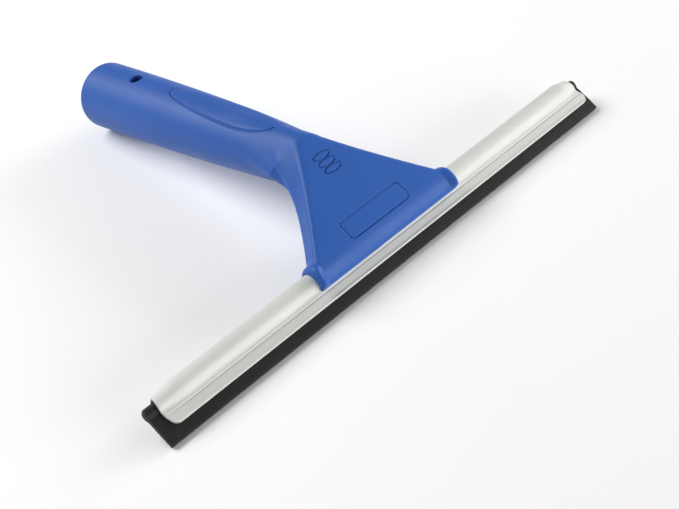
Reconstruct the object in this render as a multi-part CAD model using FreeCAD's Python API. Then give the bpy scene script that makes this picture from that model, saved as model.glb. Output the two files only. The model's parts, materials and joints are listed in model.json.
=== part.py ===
import FreeCAD, Part
import math
import os

from FreeCAD import Vector

# Window squeegee: a rubber strip in an aluminium channel, held by a hollow plastic handle.
# Everything is drawn in the handle's own frame: X along the blade, Y along the grip towards the
# pole end, Z up, with the origin in the middle of the channel.  The last step lays it down as it
# rests on a table, on its rubber edge and the rim of the grip, with +Z up and the origin under
# the middle of the whole.

# ---- driving dimensions, millimetres and degrees -------------------------------------------------
BLADE_ANGLE = 37.4          # between the grip's axis and the plane of the blade

RUBBER_LENGTH = 254.0
RUBBER_EDGE = -14.0         # height of the wiping edge in the blade's plane
BEAD_HEIGHT = 1.0           # height of the bead's centre
BEAD_R = 2.6
WEB_HALF = 1.45             # half thickness of the strip inside the channel
EDGE_HALF = 1.05            # half thickness at the wiping edge

CHANNEL_LENGTH = 249.4
CHANNEL_WALL = 1.05
CHANNEL_LOW = -9.3          # height of the channel's lower lips
BELL_R = 5.0
BELL_HEIGHT = 1.65
JAW_HALF = 2.8              # half thickness over the jaws
SHOULDER_R = 3.0            # hollow curve from bell to jaw
CRIMP_LENGTH = 9.5
CRIMP_R = 4.2
CRIMP_HEIGHT = 1.3
CHANNEL_CORNER_R = 3.5

GRIP_AXIS = 26.05           # height of the grip's axis over the channel
GRIP_END = 185.7
GRIP_END_R = 15.95
GRIP_MID = 116.0
GRIP_MID_R = 15.04
GRIP_NECK = 46.4
GRIP_NECK_R = 12.3
GRIP_START = 14.0           # where the round bar has vanished inside the head
RIM_R = 3.0

SOCKET_R = 11.5
SOCKET_DEPTH = 60.0
SOCKET_CHAMFER = 0.8
CORE_R = 9.5                # tapered hollow beyond the socket
CORE_END_R = 6.5
CORE_DEPTH = 112.0
LOCK_HOLE_R = 3.25
LOCK_HOLE_FROM_END = 33.7

FACE = 8.4                  # front of the flat head, in front of the blade's plane
BACK = -1.0                 # back of the flat head
COLLAR_LENGTH = 79.6
COLLAR_LOW = -3.7
COLLAR_R = 7.4
COLLAR_BEVEL_TOP = 3.4
COLLAR_LOW_FRONT = 5.1      # front of the collar's lower edge
COLLAR_END_ROUND = 1.2
COLLAR_CLEARANCE = 0.05
HEAD_LOW = 2.0              # the flat head runs from here, inside the collar, up to the neck
HEAD_TOP = 52.0
FACE_HALF_AT_ZERO = 40.8    # half width of the face, carried down to the channel's middle
FACE_TAPER = 0.72           # half width lost per millimetre of height
FLARE = (1.2, 1.6, 2.6, 4.4, 6.4)   # how far the back of the head is wider, from low to high


def grip_radius(y):
    """Radius of the grip's outline, a long arc through three named points."""
    low = (y - GRIP_MID) * (y - GRIP_END) / ((GRIP_NECK - GRIP_MID) * (GRIP_NECK - GRIP_END))
    mid = (y - GRIP_NECK) * (y - GRIP_END) / ((GRIP_MID - GRIP_NECK) * (GRIP_MID - GRIP_END))
    end = (y - GRIP_NECK) * (y - GRIP_MID) / ((GRIP_END - GRIP_NECK) * (GRIP_END - GRIP_MID))
    return low * GRIP_NECK_R + mid * GRIP_MID_R + end * GRIP_END_R


def face_half(height):
    """Half width of the flat face at a height in the blade's plane."""
    return FACE_HALF_AT_ZERO - FACE_TAPER * height


def to_handle_frame(shape):
    """Blade shapes are drawn with Y up the blade and Z to its front, then tipped to the grip."""
    shape.rotate(Vector(0, 0, 0), Vector(1, 0, 0), BLADE_ANGLE)
    return shape


def line(a, b):
    return Part.LineSegment(a, b).toShape()


def arc(a, b, c):
    return Part.Arc(a, b, c).toShape()


# ---- channel --------------------------------------------------------------------------------------
def bell_face(x, bell_r, bell_height, inset):
    """Section of the channel's outside, or of its inside when inset is the wall."""
    r = bell_r - inset
    jaw = JAW_HALF - inset
    hollow_r = SHOULDER_R + inset
    rise = JAW_HALF + SHOULDER_R
    drop = math.sqrt((bell_r + SHOULDER_R) ** 2 - rise ** 2)
    turn = math.atan2(rise, -drop)
    centre = bell_height - drop
    touch = Vector(x, bell_height + r * math.cos(turn), r * math.sin(turn))
    half_turn = (turn + math.pi + math.pi * 1.5) / 2
    middle = Vector(x, centre + hollow_r * math.cos(half_turn), rise + hollow_r * math.sin(half_turn))
    foot = Vector(x, centre, jaw)
    lip = Vector(x, CHANNEL_LOW, jaw)
    top = Vector(x, bell_height + r, 0)
    edges = [
        line(lip, foot),
        arc(foot, middle, touch),
        arc(touch, top, mirrored(touch)),
        arc(mirrored(touch), mirrored(middle), mirrored(foot)),
        line(mirrored(foot), mirrored(lip)),
        line(mirrored(lip), lip),
    ]
    return Part.Wire(edges)


def mirrored(p):
    """The same point on the back of the blade."""
    return Vector(p.x, p.y, -p.z)


def channel_bar(inset):
    """The channel's outside or inside as a solid bar, with both ends pinched in."""
    end = CHANNEL_LENGTH / 2
    start = end - CRIMP_LENGTH
    middle = Part.Face(bell_face(-start, BELL_R, BELL_HEIGHT, inset))
    bar = middle.extrude(Vector(2 * start, 0, 0))
    for side in (-1, 1):
        sections = [
            bell_face(side * start, BELL_R, BELL_HEIGHT, inset),
            bell_face(side * end, CRIMP_R, CRIMP_HEIGHT, inset),
        ]
        bar = bar.fuse(Part.makeLoft(sections, True, True))
    return bar.removeSplitter()


def channel_outline():
    """Side outline of the channel, with its lower corners rounded, as a slab to trim with."""
    half = CHANNEL_LENGTH / 2
    slab = Part.makeBox(CHANNEL_LENGTH, 40, 20, Vector(-half, CHANNEL_LOW, -10))
    corners = []
    for edge in slab.Edges:
        ends = [v.Point for v in edge.Vertexes]
        if all(abs(p.y - CHANNEL_LOW) < 1e-6 and abs(abs(p.x) - half) < 1e-6 for p in ends):
            corners.append(edge)
    return slab.makeFillet(CHANNEL_CORNER_R, corners)


def blade_channel():
    tube = channel_bar(0).cut(channel_bar(CHANNEL_WALL))
    return to_handle_frame(tube.common(channel_outline()))


# ---- rubber ---------------------------------------------------------------------------------------
def rubber_blade():
    half = RUBBER_LENGTH / 2
    neck = math.sqrt(BEAD_R ** 2 - WEB_HALF ** 2)
    shoulder = Vector(-half, BEAD_HEIGHT - neck, WEB_HALF)
    bead_top = Vector(-half, BEAD_HEIGHT + BEAD_R, 0)
    lip = Vector(-half, CHANNEL_LOW, WEB_HALF)
    edge = Vector(-half, RUBBER_EDGE, EDGE_HALF)
    outline = [
        line(edge, lip),
        line(lip, shoulder),
        arc(shoulder, bead_top, mirrored(shoulder)),
        line(mirrored(shoulder), mirrored(lip)),
        line(mirrored(lip), mirrored(edge)),
        line(mirrored(edge), edge),
    ]
    strip = Part.Face(Part.Wire(outline)).extrude(Vector(RUBBER_LENGTH, 0, 0))
    return to_handle_frame(strip)


# ---- handle ---------------------------------------------------------------------------------------
def grip():
    """Round bar with a bulging outline and a rounded rim at the pole end."""
    rim_centre = Vector(0, GRIP_END - RIM_R, GRIP_AXIS + GRIP_END_R - RIM_R)
    lean = math.sqrt(0.5) * RIM_R
    before_rim = Vector(0, rim_centre.y, GRIP_AXIS + GRIP_END_R)
    on_rim = Vector(0, rim_centre.y + lean, rim_centre.z + lean)
    after_rim = Vector(0, GRIP_END, rim_centre.z)
    axis_start = Vector(0, GRIP_START, GRIP_AXIS)
    axis_end = Vector(0, GRIP_END, GRIP_AXIS)
    start = Vector(0, GRIP_START, GRIP_AXIS + grip_radius(GRIP_START))
    middle = Vector(0, GRIP_MID, GRIP_AXIS + GRIP_MID_R)
    outline = [
        line(axis_start, start),
        arc(start, middle, before_rim),
        arc(before_rim, on_rim, after_rim),
        line(after_rim, axis_end),
        line(axis_end, axis_start),
    ]
    return Part.Face(Part.Wire(outline)).revolve(axis_start, Vector(0, 1, 0), 360)


def head_outline(depth, extra):
    """Outline of the flat head at one depth; extra widens it from low to high."""
    steps = len(extra) - 1
    heights = [HEAD_LOW + (HEAD_TOP - HEAD_LOW) * i / steps for i in range(steps + 1)]
    right = [Vector(face_half(h) + e, h, depth) for h, e in zip(heights, extra)]
    left = [Vector(-p.x, p.y, p.z) for p in reversed(right)]
    curves = []
    for points in (right, left):
        curve = Part.BSplineCurve()
        curve.interpolate(points)
        curves.append(curve.toShape())
    top = line(right[-1], left[0])
    low = line(left[-1], right[0])
    return Part.Wire([curves[0], top, curves[1], low])


def head():
    """Flat triangular head, flaring towards its back and into the neck."""
    front = head_outline(FACE, (0,) * len(FLARE))
    back = head_outline(BACK, FLARE)
    return to_handle_frame(Part.makeLoft([back, front], True, True))


def collar():
    """The part of the head that wraps the channel's bell."""
    half = COLLAR_LENGTH / 2
    slant = math.sqrt(0.5) * COLLAR_R
    low_front = Vector(-half, COLLAR_LOW, COLLAR_LOW_FRONT)
    bevel_top = Vector(-half, COLLAR_BEVEL_TOP, FACE)
    top = Vector(-half, BELL_HEIGHT + COLLAR_R, 0)
    front_slant = Vector(-half, BELL_HEIGHT + slant, slant + 0.9)
    back_slant = Vector(-half, BELL_HEIGHT + slant, -slant)
    back = Vector(-half, BELL_HEIGHT, -COLLAR_R)
    low_back = Vector(-half, COLLAR_LOW, -COLLAR_LOW_FRONT)
    outline = [
        line(low_front, bevel_top),
        arc(bevel_top, front_slant, top),
        arc(top, back_slant, back),
        line(back, low_back),
        line(low_back, low_front),
    ]
    block = Part.Face(Part.Wire(outline)).extrude(Vector(COLLAR_LENGTH, 0, 0))
    rounded = []
    for edge in block.Edges:
        middle = edge.CenterOfMass
        if abs(abs(middle.x) - half) < 1e-6 and middle.y > COLLAR_LOW + 1e-6:
            rounded.append(edge)
    return to_handle_frame(block.makeFillet(COLLAR_END_ROUND, rounded))


def channel_seat():
    """Room for the channel inside the collar."""
    half = COLLAR_LENGTH / 2 + 5
    section = Part.Face(bell_face(-half, BELL_R, BELL_HEIGHT, -COLLAR_CLEARANCE))
    return to_handle_frame(section.extrude(Vector(2 * half, 0, 0)))


def socket():
    """Pole socket: a plain bore with a lead-in, then a tapered hollow."""
    out = Vector(0, -1, 0)
    mouth = Vector(0, GRIP_END, GRIP_AXIS)
    floor = Vector(0, GRIP_END - SOCKET_DEPTH, GRIP_AXIS)
    bore = Part.makeCylinder(SOCKET_R, SOCKET_DEPTH, mouth, out)
    lead_in = Part.makeCone(SOCKET_R + SOCKET_CHAMFER, SOCKET_R, SOCKET_CHAMFER, mouth, out)
    core = Part.makeCone(CORE_R, CORE_END_R, CORE_DEPTH - SOCKET_DEPTH, floor, out)
    return bore.fuse([lead_in, core])


def lock_hole():
    """Hole through the top wall, for a pole's spring button or for a hook."""
    foot = Vector(0, GRIP_END - LOCK_HOLE_FROM_END, GRIP_AXIS)
    return Part.makeCylinder(LOCK_HOLE_R, 2 * GRIP_END_R, foot, Vector(0, 0, 1))


def in_front_of_face():
    """Everything in front of the head's flat face, to shave the neck with."""
    return to_handle_frame(Part.makeBox(200, 200, 60, Vector(-100, -60, FACE)))


def handle():
    body = grip().fuse([head(), collar()])
    body = body.cut([in_front_of_face(), channel_seat(), socket(), lock_hole()])
    return body.removeSplitter()


# ---- laying it down -------------------------------------------------------------------------------
def blade_point(height, depth):
    """A point of the blade's section in the handle's frame, as (y, z)."""
    turn = math.radians(BLADE_ANGLE)
    y = height * math.cos(turn) - depth * math.sin(turn)
    z = height * math.sin(turn) + depth * math.cos(turn)
    return y, z


def rest_tilt():
    """Angle that brings the rubber's edge and the rim of the grip down to one table."""
    rim_y = GRIP_END - RIM_R
    rim_z = GRIP_AXIS - GRIP_END_R + RIM_R
    edge_y, edge_z = blade_point(RUBBER_EDGE, -EDGE_HALF)
    rise = rim_z - edge_z
    run = rim_y - edge_y
    return math.acos(RIM_R / math.hypot(rise, run)) - math.atan2(run, rise)


def rest_origin(tilt):
    """Middle of the laid-down squeegee at table level, before it is moved to the origin."""
    rim_y = GRIP_END - RIM_R
    rim_z = GRIP_AXIS + GRIP_END_R - RIM_R
    far = rim_y * math.cos(tilt) + rim_z * math.sin(tilt) + RIM_R
    front_y, front_z = blade_point(RUBBER_EDGE, EDGE_HALF)
    near = front_y * math.cos(tilt) + front_z * math.sin(tilt)
    edge_y, edge_z = blade_point(RUBBER_EDGE, -EDGE_HALF)
    table = edge_z * math.cos(tilt) - edge_y * math.sin(tilt)
    return Vector(0, (near + far) / 2, table)


def lay_down(shape):
    tilt = rest_tilt()
    shape.rotate(Vector(0, 0, 0), Vector(1, 0, 0), -math.degrees(tilt))
    shape.translate(rest_origin(tilt).negative())
    return shape


def main():
    os.makedirs("parts", exist_ok=True)
    pieces = {
        "handle": handle(),
        "blade_channel": blade_channel(),
        "rubber_blade": rubber_blade(),
    }
    for name, shape in pieces.items():
        solid = lay_down(shape)
        box = solid.BoundBox
        print(name, "solids", len(solid.Solids), "valid", solid.isValid(), "volume", round(solid.Volume))
        print("   box", [round(v, 2) for v in (box.XMin, box.YMin, box.ZMin, box.XMax, box.YMax, box.ZMax)])
        solid.exportStep("parts/" + name + ".step")
    print("tilt", round(math.degrees(rest_tilt()), 3), "origin", rest_origin(rest_tilt()))


main()
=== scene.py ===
import json
import math

import bmesh
import bpy
import numpy as np
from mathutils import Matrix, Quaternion, Vector


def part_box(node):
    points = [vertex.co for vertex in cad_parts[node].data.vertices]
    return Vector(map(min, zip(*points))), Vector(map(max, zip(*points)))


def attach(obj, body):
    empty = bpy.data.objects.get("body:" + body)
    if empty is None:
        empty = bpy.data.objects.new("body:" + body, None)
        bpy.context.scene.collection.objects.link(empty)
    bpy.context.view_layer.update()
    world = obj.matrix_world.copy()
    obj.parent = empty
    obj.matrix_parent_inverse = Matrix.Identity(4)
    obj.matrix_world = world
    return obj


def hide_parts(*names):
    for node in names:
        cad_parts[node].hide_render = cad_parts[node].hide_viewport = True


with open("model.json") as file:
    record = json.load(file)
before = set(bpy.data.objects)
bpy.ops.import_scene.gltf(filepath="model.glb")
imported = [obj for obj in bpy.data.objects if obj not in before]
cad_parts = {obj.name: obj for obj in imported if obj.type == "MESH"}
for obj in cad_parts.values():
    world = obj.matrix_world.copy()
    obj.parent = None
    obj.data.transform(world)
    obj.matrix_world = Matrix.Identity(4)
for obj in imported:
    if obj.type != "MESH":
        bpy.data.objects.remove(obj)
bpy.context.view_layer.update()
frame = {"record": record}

# A window squeegee lying on a pale floor.  Shapes are worked out in millimetres in the handle's
# own frame (X along the blade, Y along the grip to its pole end, Z up, origin in the channel) and
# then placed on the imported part.

MM = 0.001
X_AXIS = Vector((1, 0, 0))

# ---- sizes in millimetres -----------------------------------------------------------------------
BLADE_ANGLE = math.radians(37.4)
GRIP_AXIS = 26.05
GRIP_END = 185.7
GRIP_END_R = 15.95
GRIP_MID = 116.0
GRIP_MID_R = 15.04
GRIP_NECK = 46.4
GRIP_NECK_R = 12.3
RIM_R = 3.0
SOCKET_R = 11.5
SOCKET_DEPTH = 60.0
SOCKET_CHAMFER = 0.8
CORE_R = 9.5
CORE_END_R = 6.5
CORE_DEPTH = 112.0
LOCK_HOLE_R = 3.25
LOCK_HOLE_FROM_END = 33.7

FACE = 8.4
BACK = -1.0
HEAD_TOP = 52.0         # where the head's sides reach their full draft
FACE_HALF_AT_ZERO = 41.0
FACE_TAPER = 0.72
FACE_SAG = 0.6
FACE_SAG_FOOT = 5.0
FACE_SAG_LENGTH = 46.0
NECK_SHOULDER = 13.3    # flattening of the neck's two shoulders, from the grip's axis
NECK_SHOULDER_RISE = 0.13
NECK_SHOULDER_DIR = (0.717, 0.697)      # which way they face: sideways, up
NECK_SHOULDER_EDGE = 4.0
NECK_FROM = 26.0        # heights between which the head turns into the neck
NECK_TO = 46.0
BACK_ROUND = 1.0        # rounding of the head's back edge, at its foot and at the neck
NECK_BACK_ROUND = 4.5
NECK_BACK_DROP = 3.5
NECK_FILLET = 14.0      # fillet between grip and head, added to the least as they meet more steeply
LEAST_FILLET = 1.0
EDGE_BLEND = 2.0
HEAD_LOW = 2.4
HEAD_LOW_ROUND = 1.5
HEAD_CREST_ROUND = 2.0
HEAD_DRAFT = 0.19       # how much wider the head's sides are per millimetre of depth, at its foot
NECK_DRAFT = 0.71       # and how much more of that there is at the neck
COLLAR_HALF = 40.4
COLLAR_R = 7.9
COLLAR_CENTRE = (0.6, 0.9)
COLLAR_FRONT_R = 6.0    # the collar bulges to the front, round a second centre
COLLAR_FRONT_CENTRE = (1.45, 3.5)
COLLAR_LOW = -3.7
BEVEL_TOP = 2.4
BEVEL_LOW_FRONT = 4.9
BEVEL_FADE = 3.5        # how far bevel and face give way to the full round at the collar's ends
FACE_FADE = 1.5
FADE_FROM_END = 4.5     # where that begins and is complete, from the collar's end
FADE_TO_END = 0.5
FRONT_BLEND = 1.3
COLLAR_END_ROUND = 2.0
COLLAR_LOW_ROUND = 0.6
COLLAR_BLEND = 0.8
COLLAR_FILLET = 1.5
SEAT_GAP = 0.05
SEAT_EDGE = 0.3
SOCKET_EDGE = 0.4
LOCK_HOLE_EDGE = 0.35

BELL_R = 5.0
BELL_HEIGHT = 1.65
JAW_HALF = 2.8
SHOULDER_R = 3.0
CHANNEL_WALL = 1.05
LIP_ROUND = CHANNEL_WALL / 2
CHANNEL_LIP_CORNER = 2.2
CHANNEL_LOW = -9.3
CRIMP_LENGTH = 10.4
CRIMP_SKEW = 2.9        # the crimp is longer at one end than at the other
CRIMP_R = 4.2
CRIMP_HEIGHT = 1.3
CHANNEL_SHIFT = 1.9     # the channel sits a little off the middle of its rubber
CHANNEL_TRIM = 0.5      # and stops a little short of its node's length
BELL_CUT = 1.9          # how much shorter the bell is than the jaws at the far end
END_CURVE = 0.03        # how hollow the channel's ends are cut, per millimetre squared
END_CURVE_HEIGHT = -1.5
END_REACH = 15.0        # over how much of its length an end cut is spread
BELL_CUT_FOOT = -6.5    # heights between which the bell's extra cut grows to its full depth
BELL_CUT_TOP = -2.0
LIP_CORNER_TOP = -7.1   # below this the end's corner is rounded to the lip
LIP_FLARE = 0.5         # how far the jaw flares at its lip, and where that starts and is full
LIP_FLARE_FROM = -7.6
LIP_FLARE_TO = -9.1
JAW_GROOVE_HEIGHT = -4.5
JAW_GROOVE = (1.3, 0.22)                # every groove: width, depth

RUBBER_EDGE = -14.0
BEAD_HEIGHT = 1.0
BEAD_R = 2.6
WEB_HALF = 1.45
EDGE_HALF = 1.05
EDGE_ROUND = 0.15
EDGE_STEP = 0.04        # bevel of the wiping edge's two corners
RUBBER_CORNER = 1.3
RUBBER_END_REACH = 7.0

PAD_WIDEST = 76.0       # thumb pad, along the grip
PAD_HALF_WIDTH = 6.9
PAD_TO_NECK = 22.2
PAD_TO_END = 48.0
PAD_CROWN = 0.12        # how far the pad stands out along its middle, and how much more at its rim
PAD_RIM = 0.38
PAD_GROOVE_OUT = 0.4
PAD_GROOVE = (1.2, 0.55)
OVALS = (33.6, 37.1, 40.6)
OVAL_HALF = (3.85, 1.2)
OVAL_RISE = 0.4
OVAL_GROOVE_OUT = 0.3
OVAL_GROOVE = (1.1, 0.6)
PANEL_CENTRE = 8.6
PANEL_HALF = (17.0, 4.3)
PANEL_CORNER = 2.0
PANEL_GROOVE = (1.1, 0.75)

HANDLE_STEP = 0.85      # grid of the handle's net
HANDLE_LOW = (-42.0, -8.0, -8.0)
HANDLE_HIGH = (42.0, 187.0, 43.0)
REFINE_BENDS = (28, 40)                 # degrees along an edge before each round splits its faces

# ---- camera, lights and floor, in metres and degrees --------------------------------------------
CAMERA_PLACE = Vector((-0.28327, -0.42035, 0.34416))
CAMERA_AIM = Vector((-0.024763, -0.088258, 0.015))
CAMERA_ROLL = -11.997
CAMERA_LENS = 71.515
LIGHT_AIM = Vector((0, 0, 0.02))
FLOOR_HALF = 4.0
FLOOR_TOP = -0.0002


def half_length(node):
    """Half of a node's length along the blade, in millimetres."""
    low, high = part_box(node)
    return (high.x - low.x) / 2 / MM


RUBBER_HALF = half_length("rubber_blade")
CHANNEL_HALF = half_length("blade_channel") - CHANNEL_TRIM


# ---- from the handle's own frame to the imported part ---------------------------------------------
def find_mount(name):
    """The part's record of one mount."""
    for mount in frame["record"]["mounts"]:
        if mount["name"] == name:
            return mount


POLE_SOCKET = find_mount("pole_socket")
SOCKET_MOUNT_Y = GRIP_END - 30.5        # where the part's record states the socket
GRIP_DIR = Vector(POLE_SOCKET["axis"]).normalized()
GRIP_UP = X_AXIS.cross(GRIP_DIR)
ORIGIN = Vector(POLE_SOCKET["pos_m"]) - (GRIP_DIR * SOCKET_MOUNT_Y + GRIP_UP * GRIP_AXIS) * MM


def placed(points):
    """Points in the handle's frame, in millimetres, as metres in the part's frame."""
    axes = np.array([X_AXIS, GRIP_DIR, GRIP_UP])
    return np.array(ORIGIN) + np.asarray(points) @ axes * MM


def turned(directions):
    """Directions in the handle's frame, turned to the part's frame."""
    return np.asarray(directions) @ np.array([X_AXIS, GRIP_DIR, GRIP_UP])


def from_blade(x, height, depth):
    """Blade coordinates (along, up the blade, to its front) in the handle's frame."""
    y = height * math.cos(BLADE_ANGLE) - depth * math.sin(BLADE_ANGLE)
    z = height * math.sin(BLADE_ANGLE) + depth * math.cos(BLADE_ANGLE)
    return np.stack(np.broadcast_arrays(x, y, z), axis=-1)


def to_blade(y, z):
    """Height up the blade and depth to its front, from the handle's frame."""
    height = y * math.cos(BLADE_ANGLE) + z * math.sin(BLADE_ANGLE)
    depth = z * math.cos(BLADE_ANGLE) - y * math.sin(BLADE_ANGLE)
    return height, depth


# ---- solid fields: negative inside, about millimetres from the surface --------------------------
def both(a, b, r):
    """Where two shapes overlap, with the edge between them rounded to r."""
    corner = np.hypot(np.maximum(a + r, 0), np.maximum(b + r, 0))
    return np.minimum(np.maximum(a, b), -r) + corner


def either(a, b, r):
    """Two shapes joined, with a hollow fillet of r between them."""
    corner = np.hypot(np.maximum(r - a, 0), np.maximum(r - b, 0))
    return np.maximum(np.minimum(a, b), r) - corner


def soft_both(a, b, k):
    """Where two shapes overlap, with an edge that is k / 4 lower, however shallow its angle."""
    return np.maximum(a, b) + np.maximum(k - np.abs(a - b), 0) ** 2 / (4 * k)


def soft_either(a, b, k):
    """Two shapes joined, filled by k / 4 where they meet, however shallow the angle."""
    return -soft_both(-a, -b, k)


def ramp(value, start, end):
    """0 at start, 1 at end, smooth at both."""
    t = np.clip((value - start) / (end - start), 0, 1)
    return t * t * (3 - 2 * t)


def grip_radius(y):
    """Radius of the grip's outline, a long arc through three named points."""
    low = (y - GRIP_MID) * (y - GRIP_END) / ((GRIP_NECK - GRIP_MID) * (GRIP_NECK - GRIP_END))
    mid = (y - GRIP_NECK) * (y - GRIP_END) / ((GRIP_MID - GRIP_NECK) * (GRIP_MID - GRIP_END))
    end = (y - GRIP_NECK) * (y - GRIP_MID) / ((GRIP_END - GRIP_NECK) * (GRIP_END - GRIP_MID))
    return low * GRIP_NECK_R + mid * GRIP_MID_R + end * GRIP_END_R


def grip_field(x, y, z):
    """The grip: a turned bar with a rounded rim, flattened on both shoulders near the neck."""
    side = np.hypot(x, z - GRIP_AXIS) - grip_radius(y)
    slope = NECK_SHOULDER_DIR[0] * np.abs(x) + NECK_SHOULDER_DIR[1] * (z - GRIP_AXIS)
    shoulder = slope - NECK_SHOULDER - NECK_SHOULDER_RISE * (y - GRIP_NECK)
    side = both(side, shoulder, NECK_SHOULDER_EDGE)
    return both(side, y - GRIP_END, RIM_R)


def face_half(height):
    """Half width of the flat face, a little hollow between its foot and its tip."""
    sag = np.sin(np.clip((height - FACE_SAG_FOOT) / FACE_SAG_LENGTH, 0, 1) * math.pi)
    return FACE_HALF_AT_ZERO - FACE_TAPER * height - FACE_SAG * sag


def head_field(x, height, depth):
    """The flat head: a tapering plate with drafted sides, cut level with the top of the neck."""
    draft = HEAD_DRAFT + NECK_DRAFT * np.clip(height / HEAD_TOP, 0, 1) ** 3.0
    half = face_half(height) + draft * (FACE - depth)
    side = (np.abs(x) - half) / math.hypot(1, FACE_TAPER)
    at_neck = ramp(height, NECK_FROM, NECK_TO)
    back_round = BACK_ROUND + (NECK_BACK_ROUND - BACK_ROUND) * at_neck
    plate = both(side, BACK - NECK_BACK_DROP * at_neck - depth, back_round)
    plate = both(plate, HEAD_LOW - height, HEAD_LOW_ROUND)
    rise = height * math.sin(BLADE_ANGLE) + depth * math.cos(BLADE_ANGLE)
    return both(plate, rise - GRIP_AXIS - GRIP_NECK_R, HEAD_CREST_ROUND)


def front_field(x, height, depth):
    """All that lies behind the face and the bevel that runs from it to the collar's lower edge."""
    run = BEVEL_TOP - COLLAR_LOW
    fall = FACE - BEVEL_LOW_FRONT
    bevel = ((depth - FACE) * run - (height - BEVEL_TOP) * fall) / math.hypot(run, fall)
    fade = ramp(np.abs(x), COLLAR_HALF - FADE_FROM_END, COLLAR_HALF - FADE_TO_END)
    return soft_both(depth - FACE - FACE_FADE * fade, bevel - BEVEL_FADE * fade, FRONT_BLEND)


def collar_field(x, height, depth):
    """The full round collar that wraps the channel, open below for the jaws."""
    back = np.hypot(height - COLLAR_CENTRE[0], depth - COLLAR_CENTRE[1]) - COLLAR_R
    centre_height, centre_depth = COLLAR_FRONT_CENTRE
    front = np.hypot(height - centre_height, depth - centre_depth) - COLLAR_FRONT_R
    wrap = soft_either(back, front, COLLAR_BLEND)
    ends = both(wrap, np.abs(x) - COLLAR_HALF, COLLAR_END_ROUND)
    return both(ends, COLLAR_LOW - height, COLLAR_LOW_ROUND)


def shoulder_offset(bell_r):
    """How far out from the bell's centre, and how far below it, each shoulder's centre lies."""
    rise = JAW_HALF + SHOULDER_R
    return rise, math.sqrt((bell_r + SHOULDER_R) ** 2 - rise ** 2)


def bell_field(height, depth):
    """Outside of the channel's section: a round bell, hollow shoulders and flat jaws."""
    out = np.abs(depth)
    rise, drop = shoulder_offset(BELL_R)
    foot = BELL_HEIGHT - drop
    touch = BELL_HEIGHT - drop * BELL_R / (BELL_R + SHOULDER_R)
    bell = np.hypot(height - BELL_HEIGHT, out) - BELL_R
    shoulder = SHOULDER_R - np.hypot(height - foot, out - rise)
    jaw = out - JAW_HALF
    return np.where(height > touch, bell, np.where(height > foot, shoulder, jaw))


def socket_field(r, y):
    """The pole socket: a bore with a lead-in, then a tapered hollow."""
    depth = GRIP_END - y
    bore = np.maximum(r - SOCKET_R, depth - SOCKET_DEPTH)
    lead_in = (r - SOCKET_R - SOCKET_CHAMFER + depth) * math.sqrt(0.5)
    share = (depth - SOCKET_DEPTH) / (CORE_DEPTH - SOCKET_DEPTH)
    core = np.maximum(r - CORE_R + (CORE_R - CORE_END_R) * share, depth - CORE_DEPTH)
    return np.minimum(np.minimum(bore, lead_in), core)


def neck_field(x, y, z, height, depth):
    """Grip and head joined by a hollow fillet, slight where they meet at a shallow angle."""
    grip = grip_field(x, y, z)
    head = head_field(x, height, depth)
    reach = 1.5
    across = head_field(x + reach, height, depth) - head
    upward = head_field(x, height + reach, depth) - head
    forward = head_field(x, height, depth + reach) - head
    steep = np.sqrt(across ** 2 + upward ** 2 + forward ** 2)
    lift = upward * math.sin(BLADE_ANGLE) + forward * math.cos(BLADE_ANGLE)
    radius = np.maximum(np.hypot(x, z - GRIP_AXIS), 1.0)
    match = (across * x + lift * (z - GRIP_AXIS)) / np.maximum(steep * radius, 1e-6)
    fillet = LEAST_FILLET + NECK_FILLET * (1 - np.clip(match, -1, 1))
    return soft_either(grip, head, fillet)


def plain_handle(p):
    """The whole moulding without its fine relief."""
    x, y, z = p
    height, depth = to_blade(y, z)
    body = neck_field(x, y, z, height, depth)
    body = either(body, collar_field(x, height, depth), COLLAR_FILLET)
    body = soft_both(body, front_field(x, height, depth), EDGE_BLEND)
    body = both(body, SEAT_GAP - bell_field(height, depth), SEAT_EDGE)
    body = both(body, -socket_field(np.hypot(x, z - GRIP_AXIS), y), SOCKET_EDGE)
    hole = np.hypot(x, y - GRIP_END + LOCK_HOLE_FROM_END) - LOCK_HOLE_R
    return both(body, -np.maximum(hole, GRIP_AXIS - z), LOCK_HOLE_EDGE)


# ---- fine relief on the handle ------------------------------------------------------------------
def ellipse_distance(across, along, half_width, half_reach):
    """Distance outside an ellipse round zero, near enough close to its outline."""
    u = across / half_width
    v = along / half_reach
    size = np.hypot(u, v)
    slope = np.hypot(u / half_width, v / half_reach)
    return (size - 1) * size / np.maximum(slope, 1e-4)


def pad_distance(x, y):
    """Distance outside the thumb pad's egg-shaped outline, seen from above."""
    reach = np.where(y > PAD_WIDEST, PAD_TO_END, PAD_TO_NECK)
    return ellipse_distance(x, y - PAD_WIDEST, PAD_HALF_WIDTH, reach)


def oval_distance(x, height):
    """Distance outside the nearest of the three ovals on the face."""
    nearest = np.full(np.shape(x), 1e3)
    for centre in OVALS:
        nearest = np.minimum(nearest, ellipse_distance(x, height - centre, *OVAL_HALF))
    return nearest


def panel_distance(x, height):
    """Distance outside the plain rounded rectangle on the face."""
    u = np.abs(x) - PANEL_HALF[0] + PANEL_CORNER
    v = np.abs(height - PANEL_CENTRE) - PANEL_HALF[1] + PANEL_CORNER
    outside = np.hypot(np.maximum(u, 0), np.maximum(v, 0))
    return outside + np.minimum(np.maximum(u, v), 0) - PANEL_CORNER


def groove(distance, width, depth):
    """A rounded groove along the line where the distance is zero."""
    return -depth * (1 - ramp(np.abs(distance), 0, width / 2))


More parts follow.
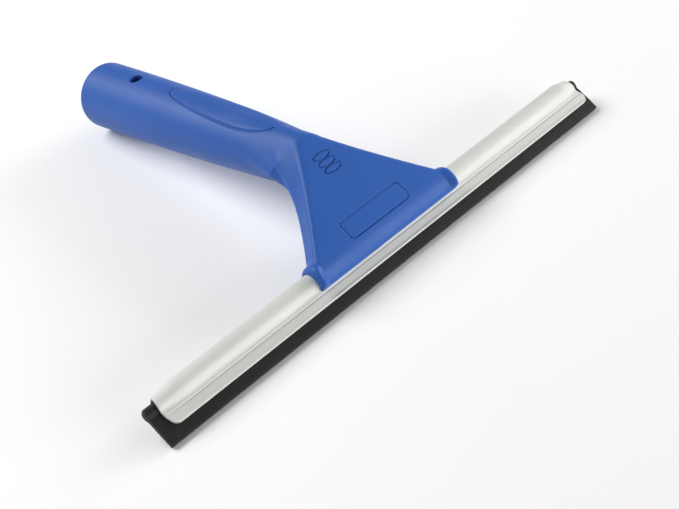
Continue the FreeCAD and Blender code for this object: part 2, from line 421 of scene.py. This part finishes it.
def relief(p):
    """How far the fine detail stands out of the plain surface."""
    x, y, z = p
    height, depth = to_blade(y, z)
    on_top = ramp(z, GRIP_AXIS + 4, GRIP_AXIS + 6)
    pad = pad_distance(x, y)
    crown = PAD_CROWN + PAD_RIM * np.minimum(np.abs(x) / PAD_HALF_WIDTH, 1) ** 2
    pad_groove = groove(pad - PAD_GROOVE_OUT, *PAD_GROOVE)
    raised = on_top * (crown * ramp(-pad, -0.1, 0.35) + pad_groove)
    on_face = ramp(depth, FACE - 1.5, FACE - 0.8)
    ovals = oval_distance(x, height)
    oval_groove = groove(ovals - OVAL_GROOVE_OUT, *OVAL_GROOVE)
    raised = raised + on_face * (OVAL_RISE * ramp(-ovals, -0.1, 0.4) + oval_groove)
    return raised + on_face * groove(panel_distance(x, height), *PANEL_GROOVE)


def detailed_handle(p):
    return plain_handle(p) - relief(p)


# ---- meshes from fields -------------------------------------------------------------------------
def gradient(field, points, reach):
    """Slope of the field at each point."""
    columns = points.T
    slopes = []
    for axis in range(3):
        ahead = columns.copy()
        behind = columns.copy()
        ahead[axis] += reach
        behind[axis] -= reach
        slopes.append((field(ahead) - field(behind)) / (2 * reach))
    return np.array(slopes).T


def settle(field, points, rounds=4, reach=0.05, longest=0.6):
    """Moves points onto the field's zero surface, along its slope."""
    for _ in range(rounds):
        slope = gradient(field, points, reach)
        steep = np.maximum((slope ** 2).sum(axis=1), 0.05)
        move = field(points.T) / steep
        points = points - slope * np.clip(move, -longest, longest)[:, None]
    return points


def relax(points, faces, rounds=3):
    """Evens out the spacing: each point goes half way to the middle of its neighbours."""
    starts = faces.ravel()
    ends = np.roll(faces, -1, axis=1).ravel()
    count = np.bincount(starts, minlength=len(points)) + np.bincount(ends, minlength=len(points))
    for _ in range(rounds):
        total = np.zeros_like(points)
        np.add.at(total, starts, points[ends])
        np.add.at(total, ends, points[starts])
        points = (points + total / count[:, None]) / 2
    return points


CUBE = [(i, j, k) for i in (0, 1) for j in (0, 1) for k in (0, 1)]


def surface_net(field, low, high, step):
    """Closed quad mesh over the field's zero surface: one point in each grid cell it crosses."""
    axes = [np.arange(a, b + step, step) for a, b in zip(low, high)]
    grid = np.array(np.meshgrid(*axes, indexing="ij"))
    values = field(grid)
    inside = values < 0
    cells = tuple(n - 1 for n in values.shape)
    corner_in = [inside[i:i + cells[0], j:j + cells[1], k:k + cells[2]] for i, j, k in CUBE]
    filled = sum(c.astype(np.int8) for c in corner_in)
    crossed = np.argwhere((filled > 0) & (filled < 8))
    number = np.full(cells, -1)
    number[tuple(crossed.T)] = np.arange(len(crossed))
    total = np.zeros((len(crossed), 3))
    hits = np.zeros(len(crossed))
    for a in CUBE:
        for axis in range(3):
            if a[axis]:
                continue
            b = tuple(v + (n == axis) for n, v in enumerate(a))
            va = values[tuple((crossed + a).T)]
            vb = values[tuple((crossed + b).T)]
            cut = (va < 0) != (vb < 0)
            share = np.where(cut, va / np.where(cut, va - vb, 1), 0)
            place = np.array(a, float) + share[:, None] * (np.array(b) - np.array(a))
            total += place * cut[:, None]
            hits += cut
    origin = np.array([axis[0] for axis in axes])
    points = origin + (crossed + total / hits[:, None]) * step
    quads = []
    for axis in range(3):
        u, v = (axis + 1) % 3, (axis + 2) % 3
        ahead = np.moveaxis(inside, (axis, u, v), (0, 1, 2))
        cell = np.moveaxis(number, (axis, u, v), (0, 1, 2))
        change = np.argwhere(ahead[:-1, 1:-1, 1:-1] != ahead[1:, 1:-1, 1:-1])
        a, b, c = change[:, 0], change[:, 1] + 1, change[:, 2] + 1
        corners = [cell[a, b - 1, c - 1], cell[a, b, c - 1], cell[a, b, c], cell[a, b - 1, c]]
        ring = np.stack(corners, axis=1)
        outward = ahead[a, b, c]
        ring[~outward] = ring[~outward][:, ::-1]
        quads.append(ring)
    return points, np.concatenate(quads)


def new_object(name, points, faces, smooth=True):
    """A mesh object in the scene from points and faces."""
    mesh = bpy.data.meshes.new(name)
    mesh.from_pydata(points.tolist(), [], faces)
    mesh.polygons.foreach_set("use_smooth", [smooth] * len(mesh.polygons))
    piece = bpy.data.objects.new(name, mesh)
    bpy.context.scene.collection.objects.link(piece)
    return piece


def cleaned(points, quads):
    """The net without its collapsed quads and with its holes filled, ready to refine."""
    mesh = bmesh.new()
    corners = [mesh.verts.new(p) for p in points.tolist()]
    for quad in quads.tolist():
        if len(set(quad)) == 4:
            mesh.faces.new([corners[n] for n in quad])
    bmesh.ops.holes_fill(mesh, edges=[e for e in mesh.edges if e.is_boundary])
    mesh.normal_update()
    return mesh


def arrays(mesh):
    """The bmesh's points and the point numbers of its edges."""
    mesh.verts.index_update()
    points = np.array([v.co[:] for v in mesh.verts])
    edges = np.array([[v.index for v in e.verts] for e in mesh.edges])
    return points, edges


def refine(mesh, chosen):
    """Splits the faces round the chosen edges into four."""
    mesh.edges.ensure_lookup_table()
    faces = {face for n in np.flatnonzero(chosen) for face in mesh.edges[n].link_faces}
    edges = list({edge for face in faces for edge in face.edges})
    bmesh.ops.subdivide_edges(mesh, edges=edges, cuts=1, use_grid_fill=True)


def update(mesh, points):
    """Moves the bmesh's vertices to new points."""
    for vert, point in zip(mesh.verts, points):
        vert.co = point


def near_detail(points):
    """Which points lie on or beside the lines of the relief."""
    x, y, z = points.T
    height, depth = to_blade(y, z)
    on_top = z > GRIP_AXIS + 5
    pad = (np.abs(pad_distance(x, y) - 0.2) < 1.2) & on_top
    on_face = depth > FACE - 1
    ovals = (oval_distance(x, height) < 1.1) & on_face
    panel = (np.abs(panel_distance(x, height)) < 0.9) & on_face
    return pad | ovals | panel


def handle():
    """The moulding: a net over its plain shape, made finer at bends and detail, then embossed."""
    points, quads = surface_net(plain_handle, HANDLE_LOW, HANDLE_HIGH, HANDLE_STEP)
    points = settle(plain_handle, points)
    points = settle(plain_handle, relax(points, quads))
    mesh = cleaned(points, quads)
    for bend in REFINE_BENDS:
        points, edges = arrays(mesh)
        normals = gradient(plain_handle, points, 0.04)
        normals /= np.linalg.norm(normals, axis=1)[:, None]
        turn = (normals[edges[:, 0]] * normals[edges[:, 1]]).sum(axis=1)
        middles = points[edges].mean(axis=1)
        refine(mesh, near_detail(middles) | (turn < math.cos(math.radians(bend))))
        points, _ = arrays(mesh)
        update(mesh, settle(plain_handle, points, rounds=2))
    points, _ = arrays(mesh)
    points = settle(detailed_handle, points, rounds=5, reach=0.03)
    update(mesh, placed(points))
    body = bpy.data.meshes.new("handle_moulding")
    mesh.to_mesh(body)
    mesh.free()
    body.polygons.foreach_set("use_smooth", [True] * len(body.polygons))
    normals = gradient(detailed_handle, points, 0.05)
    normals = turned(normals / np.linalg.norm(normals, axis=1)[:, None])
    body.normals_split_custom_set_from_vertices(normals.tolist())
    piece = bpy.data.objects.new("handle_moulding", body)
    bpy.context.scene.collection.objects.link(piece)
    return piece


# ---- channel and rubber: sections swept along the blade -----------------------------------------
def swept(name, loops, cap_pairs):
    """A closed skin through loops of points, one per station, capped at both ends."""
    stations, count, _ = loops.shape
    faces = []
    for i in range(stations - 1):
        a, b = i * count, (i + 1) * count
        for j in range(count):
            k = (j + 1) % count
            faces.append((a + j, b + j, b + k, a + k))
    last = (stations - 1) * count
    for ring in cap_pairs:
        faces.append(tuple(reversed(ring)))
        faces.append(tuple(last + n for n in ring))
    piece = new_object(name, placed(loops.reshape(-1, 3)), faces)
    mesh = bmesh.new()
    mesh.from_mesh(piece.data)
    bmesh.ops.recalc_face_normals(mesh, faces=mesh.faces)
    mesh.to_mesh(piece.data)
    mesh.free()
    return piece


def end_stations(half, reach, step, round_r):
    """Stations from end to end, close together near both ends, and how far the section has
    shrunk at each, which rounds the edges of the ends."""
    middle = np.linspace(0, half - reach, int((half - reach) / 2.5) + 1)
    near = np.linspace(half - reach, half - round_r, int(reach / step) + 1)[1:]
    lean = np.radians(np.linspace(0, 90, 6))[1:]
    x = np.concatenate([middle, near, half - round_r + round_r * np.sin(lean)])
    inset = np.concatenate([np.zeros(len(middle) + len(near)), round_r * (1 - np.cos(lean))])
    x = np.concatenate([-x[:0:-1], x])
    inset = np.concatenate([inset[:0:-1], inset])
    return x, inset


def jaw_relief(height):
    """A fine groove at the top of the jaw, and a small flare at its lip."""
    lip = LIP_FLARE * ramp(-height, -LIP_FLARE_FROM, -LIP_FLARE_TO)
    return lip + groove(height - JAW_GROOVE_HEIGHT, *JAW_GROOVE)


def channel_half(bell_r, bell_height):
    """Front half of the channel's outline, from lip to top: points and outward directions."""
    rise, drop = shoulder_offset(bell_r)
    foot = bell_height - drop
    flat = np.concatenate([
        np.linspace(CHANNEL_LOW + LIP_ROUND, -8.0, 12),
        np.linspace(-7.6, -5.4, 6),
        np.linspace(-5.3, -4.7, 9),
        np.linspace(-4.5, foot, 4)[:-1],
    ])
    turn = math.atan2(rise, -drop)
    sweep = np.linspace(-math.pi / 2, turn - math.pi, 9)
    bow = np.linspace(turn, 0, 24)
    heights = np.concatenate([
        flat,
        foot + SHOULDER_R * np.cos(sweep),
        bell_height + bell_r * np.cos(bow[1:]),
    ])
    depths = np.concatenate([
        np.full(len(flat), JAW_HALF),
        rise + SHOULDER_R * np.sin(sweep),
        bell_r * np.sin(bow[1:]),
    ])
    up = np.concatenate([np.zeros(len(flat)), -np.cos(sweep), np.cos(bow[1:])])
    out = np.concatenate([np.ones(len(flat)), -np.sin(sweep), np.sin(bow[1:])])
    return np.stack([heights, depths], 1), np.stack([up, out], 1)


def channel_loop(bell_r, bell_height, inset):
    """The channel's whole section: outside, one lip, inside, the other lip."""
    line, away = channel_half(bell_r, bell_height)
    skin = line + away * (jaw_relief(line[:, 0]) - inset)[:, None]
    inner = line - away * (CHANNEL_WALL - inset)
    lean = np.radians(np.linspace(0, 180, 9))[1:-1]
    centre = (skin[0] + inner[0]) / 2
    radius = (skin[0][1] - inner[0][1]) / 2
    drop = LIP_ROUND - inset
    lip = np.stack([centre[0] - drop * np.sin(lean), centre[1] - radius * np.cos(lean)], 1)
    flip = np.array([1, -1])
    outside = [skin, skin[-2::-1] * flip, lip[::-1] * flip]
    inside = [inner[:-1] * flip, inner[::-1], lip]
    return np.concatenate(outside + inside)


def channel_end_inset(height, bell_cut):
    """How far short of the channel's full length its end is cut at each height."""
    curve = END_CURVE * (height - END_CURVE_HEIGHT) ** 2
    curve = curve + bell_cut * ramp(height, BELL_CUT_FOOT, BELL_CUT_TOP)
    below = np.clip(LIP_CORNER_TOP - height, 0, CHANNEL_LIP_CORNER)
    return curve + CHANNEL_LIP_CORNER - np.sqrt(CHANNEL_LIP_CORNER ** 2 - below ** 2)


def channel():
    """The aluminium profile, pinched at both ends, each end cut a little hollow."""
    stations, insets = end_stations(CHANNEL_HALF, reach=16, step=0.7, round_r=0.3)
    loops = []
    for x, inset in zip(stations, insets):
        reach = CRIMP_LENGTH + CRIMP_SKEW * (1 if x < 0 else -1)
        pinch = ramp(abs(x), CHANNEL_HALF - reach, CHANNEL_HALF)
        bell_r = BELL_R + (CRIMP_R - BELL_R) * pinch
        bell_height = BELL_HEIGHT + (CRIMP_HEIGHT - BELL_HEIGHT) * pinch
        section = channel_loop(bell_r, bell_height, inset)
        cut = BELL_CUT if x > 0 else 0
        spread = ramp(abs(x), CHANNEL_HALF - END_REACH, CHANNEL_HALF)
        short = channel_end_inset(section[:, 0], cut) * spread
        along = x - np.sign(x) * short + CHANNEL_SHIFT
        loops.append(from_blade(along, section[:, 0], section[:, 1]))
    loops = np.array(loops)
    count = loops.shape[1]
    wide = len(channel_half(BELL_R, BELL_HEIGHT)[0]) * 2 - 1
    lips = (count - 2 * wide) // 2
    pairs = []
    for i in range(wide - 1):
        a = 2 * wide + lips - 1 - i
        pairs.append((i, i + 1, a - 1, a))
    pairs.append(tuple(range(wide - 1, wide + lips + 1)))
    pairs.append(tuple(range(2 * wide + lips - 1, count)) + (0,))
    return swept("aluminium_channel", loops, pairs)


def rubber_loop(inset):
    """The rubber's whole section: bead, web and tapered wiping edge."""
    neck = math.asin(WEB_HALF / BEAD_R)
    bow = np.linspace(0, math.pi - neck, 15)
    heights = [BEAD_HEIGHT + BEAD_R * np.cos(bow)]
    depths = [BEAD_R * np.sin(bow)]
    up = [np.cos(bow)]
    out = [np.sin(bow)]
    web = np.linspace(BEAD_HEIGHT - BEAD_R * math.cos(neck), CHANNEL_LOW, 8)[1:]
    blade = np.linspace(CHANNEL_LOW, RUBBER_EDGE + EDGE_ROUND, 7)[1:]
    taper = (blade - RUBBER_EDGE) / (CHANNEL_LOW - RUBBER_EDGE)
    heights += [web, blade, [RUBBER_EDGE + EDGE_STEP, RUBBER_EDGE]]
    depths += [np.full(len(web), WEB_HALF), EDGE_HALF + (WEB_HALF - EDGE_HALF) * taper]
    depths += [[EDGE_HALF - EDGE_STEP, EDGE_HALF - EDGE_ROUND]]
    up += [np.zeros(len(web)), np.zeros(len(blade)), [-0.7, -1]]
    out += [np.ones(len(web)), np.ones(len(blade)), [0.7, 0]]
    line = np.stack([np.concatenate(heights), np.concatenate(depths)], 1)
    away = np.stack([np.concatenate(up), np.concatenate(out)], 1)
    side = line - away * inset
    return np.concatenate([side, side[:0:-1] * np.array([1, -1])])


def rubber():
    """The whole rubber strip, the top of its bead rounded at both ends."""
    stations, insets = end_stations(RUBBER_HALF, reach=8, step=0.8, round_r=0.2)
    loops = []
    for x, inset in zip(stations, insets):
        section = rubber_loop(inset)
        above = np.clip(section[:, 0] - BEAD_HEIGHT - BEAD_R + RUBBER_CORNER, 0, RUBBER_CORNER)
        short = RUBBER_CORNER - np.sqrt(RUBBER_CORNER ** 2 - above ** 2)
        short = short * ramp(abs(x), RUBBER_HALF - RUBBER_END_REACH, RUBBER_HALF)
        loops.append(from_blade(x - np.sign(x) * short, section[:, 0], section[:, 1]))
    loops = np.array(loops)
    count = loops.shape[1]
    half = count // 2
    pairs = [(0, 1, count - 1)]
    pairs += [(i, i + 1, count - i - 1, count - i) for i in range(1, half)]
    return swept("rubber_strip", loops, pairs)


# ---- materials ----------------------------------------------------------------------------------
class Paint:
    """A node material built up step by step, in the part's own coordinates."""

    def __init__(self, name):
        self.material = bpy.data.materials.new(name)
        self.material.use_nodes = True
        self.tree = self.material.node_tree
        self.shader = self.tree.nodes["Principled BSDF"]
        self.place = self.tree.nodes.new("ShaderNodeTexCoord").outputs["Object"]

    def link(self, source, target):
        self.tree.links.new(source, target)

    def noise(self, scale, stretch=(1, 1, 1), detail=3.0, roughness=0.5):
        mapping = self.tree.nodes.new("ShaderNodeMapping")
        mapping.inputs["Scale"].default_value = stretch
        self.link(self.place, mapping.inputs["Vector"])
        noise = self.tree.nodes.new("ShaderNodeTexNoise")
        noise.inputs["Scale"].default_value = scale
        noise.inputs["Detail"].default_value = detail
        noise.inputs["Roughness"].default_value = roughness
        self.link(mapping.outputs["Vector"], noise.inputs["Vector"])
        return noise.outputs["Fac"]

    def spread(self, value, low, high, to_low, to_high):
        node = self.tree.nodes.new("ShaderNodeMapRange")
        node.interpolation_type = "SMOOTHSTEP"
        names = ("From Min", "From Max", "To Min", "To Max")
        for name, number in zip(names, (low, high, to_low, to_high)):
            node.inputs[name].default_value = number
        self.link(value, node.inputs["Value"])
        return node.outputs["Result"]

    def sum(self, a, b):
        node = self.tree.nodes.new("ShaderNodeMath")
        node.operation = "ADD"
        self.link(a, node.inputs[0])
        self.link(b, node.inputs[1])
        return node.outputs["Value"]

    def blend(self, share, colour_a, colour_b):
        node = self.tree.nodes.new("ShaderNodeMix")
        node.data_type = "RGBA"
        node.inputs["A"].default_value = (*colour_a, 1)
        node.inputs["B"].default_value = (*colour_b, 1)
        self.link(share, node.inputs["Factor"])
        return node.outputs["Result"]

    def bump(self, value, strength, distance):
        node = self.tree.nodes.new("ShaderNodeBump")
        node.inputs["Strength"].default_value = strength
        node.inputs["Distance"].default_value = distance
        self.link(value, node.inputs["Height"])
        self.link(node.outputs["Normal"], self.shader.inputs["Normal"])

    def colour(self, source):
        self.link(source, self.shader.inputs["Base Color"])

    def roughness(self, source):
        self.link(source, self.shader.inputs["Roughness"])

    def set(self, **values):
        for name, value in values.items():
            self.shader.inputs[name.replace("_", " ")].default_value = value


def moulded_plastic():
    """Blue polypropylene: fine moulded grain, a slow drift in gloss, and a few handling marks."""
    paint = Paint("handle_plastic")
    drift = paint.noise(28, detail=2)
    paint.colour(paint.blend(drift, (0.027, 0.098, 0.365), (0.031, 0.110, 0.415)))
    marks = paint.noise(140, (1, 0.25, 1), detail=5, roughness=0.7)
    scuffs = paint.spread(marks, 0.62, 0.74, 0, 0.12)
    gloss = paint.spread(paint.noise(45), 0.3, 0.7, 0.40, 0.48)
    paint.roughness(paint.sum(gloss, scuffs))
    paint.bump(paint.noise(2600, detail=2), 0.16, 0.0001)
    paint.set(Specular_IOR_Level=0.20)
    return paint.material


def drawn_aluminium():
    """Satin aluminium with fine drawing lines along the channel and a little dulling."""
    paint = Paint("channel_aluminium")
    dull = paint.noise(60, (0.35, 1, 1), detail=4)
    paint.colour(paint.blend(dull, (0.60, 0.61, 0.575), (0.67, 0.68, 0.645)))
    lines = paint.noise(3200, (0.012, 1, 1), detail=3)
    paint.roughness(paint.spread(lines, 0.3, 0.7, 0.60, 0.72))
    paint.bump(lines, 0.10, 0.00008)
    paint.set(Metallic=0.3)
    return paint.material


def soft_rubber():
    """Matt black rubber with a faint bloom."""
    paint = Paint("blade_rubber")
    bloom = paint.noise(70, (0.5, 1, 1), detail=4)
    paint.colour(paint.blend(bloom, (0.012, 0.013, 0.012), (0.018, 0.019, 0.018)))
    paint.roughness(paint.spread(paint.noise(300), 0.3, 0.7, 0.52, 0.66))
    paint.bump(paint.noise(1800), 0.12, 0.00008)
    paint.set(Specular_IOR_Level=0.22)
    return paint.material


def floor_paper():
    """Matt off-white paper."""
    paint = Paint("floor_paper")
    tone = paint.noise(6, detail=2)
    paint.colour(paint.blend(tone, (0.90, 0.90, 0.90), (0.92, 0.92, 0.92)))
    paint.set(Roughness=0.9)
    return paint.material


# ---- the scene ----------------------------------------------------------------------------------
def place_piece(piece, body, nodes, material):
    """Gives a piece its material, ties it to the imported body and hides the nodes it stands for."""
    piece.data.materials.append(material)
    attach(piece, body)
    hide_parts(*nodes)


def add_floor():
    turns = ((-1, -1), (1, -1), (1, 1), (-1, 1))
    corners = [(x * FLOOR_HALF, y * FLOOR_HALF, FLOOR_TOP) for x, y in turns]
    floor = new_object("floor", np.array(corners), [(0, 1, 2, 3)], smooth=False)
    floor.data.materials.append(floor_paper())


def add_softbox(name, place, size, power):
    """A rectangular area light that faces the squeegee."""
    data = bpy.data.lights.new(name, "AREA")
    data.shape = "RECTANGLE"
    data.size, data.size_y = size
    data.energy = power
    lamp = bpy.data.objects.new(name, data)
    lamp.location = place
    lamp.rotation_mode = "QUATERNION"
    lamp.rotation_quaternion = (LIGHT_AIM - Vector(place)).to_track_quat("-Z", "Y")
    bpy.context.scene.collection.objects.link(lamp)


def add_world(level_light, overhead_light):
    """A white tent, brighter near the horizon than overhead."""
    world = bpy.data.worlds.new("studio")
    world.use_nodes = True
    tree = world.node_tree
    sky = tree.nodes["Background"]
    sky.inputs["Color"].default_value = (1, 1, 1, 1)
    place = tree.nodes.new("ShaderNodeTexCoord")
    split = tree.nodes.new("ShaderNodeSeparateXYZ")
    fade = tree.nodes.new("ShaderNodeMapRange")
    fade.interpolation_type = "SMOOTHSTEP"
    fade.inputs["To Min"].default_value = level_light
    fade.inputs["To Max"].default_value = overhead_light
    tree.links.new(place.outputs["Generated"], split.inputs["Vector"])
    tree.links.new(split.outputs["Z"], fade.inputs["Value"])
    tree.links.new(fade.outputs["Result"], sky.inputs["Strength"])
    bpy.context.scene.world = world


def add_camera():
    data = bpy.data.cameras.new("camera")
    data.lens = CAMERA_LENS
    data.sensor_width = 36
    data.clip_start = 0.01
    camera = bpy.data.objects.new("camera", data)
    camera.location = CAMERA_PLACE
    camera.rotation_mode = "QUATERNION"
    level = (CAMERA_AIM - CAMERA_PLACE).to_track_quat("-Z", "Y")
    camera.rotation_quaternion = level @ Quaternion((0, 0, 1), math.radians(CAMERA_ROLL))
    bpy.context.scene.collection.objects.link(camera)
    bpy.context.scene.camera = camera


place_piece(handle(), "frame", ["handle"], moulded_plastic())
place_piece(channel(), "frame", ["blade_channel"], drawn_aluminium())
place_piece(rubber(), "rubber", ["rubber_blade"], soft_rubber())
add_floor()
add_softbox("key", (-0.52, 0.95, 1.06), size=(1.3, 0.85), power=27)
add_softbox("front", (0.55, -1.55, 0.32), size=(1.9, 0.55), power=22)
add_softbox("right", (1.6, -0.3, 0.60), size=(1.0, 0.6), power=14)
add_world(level_light=0.33, overhead_light=0.05)
add_camera()
bpy.context.scene.view_settings.view_transform = "Standard"
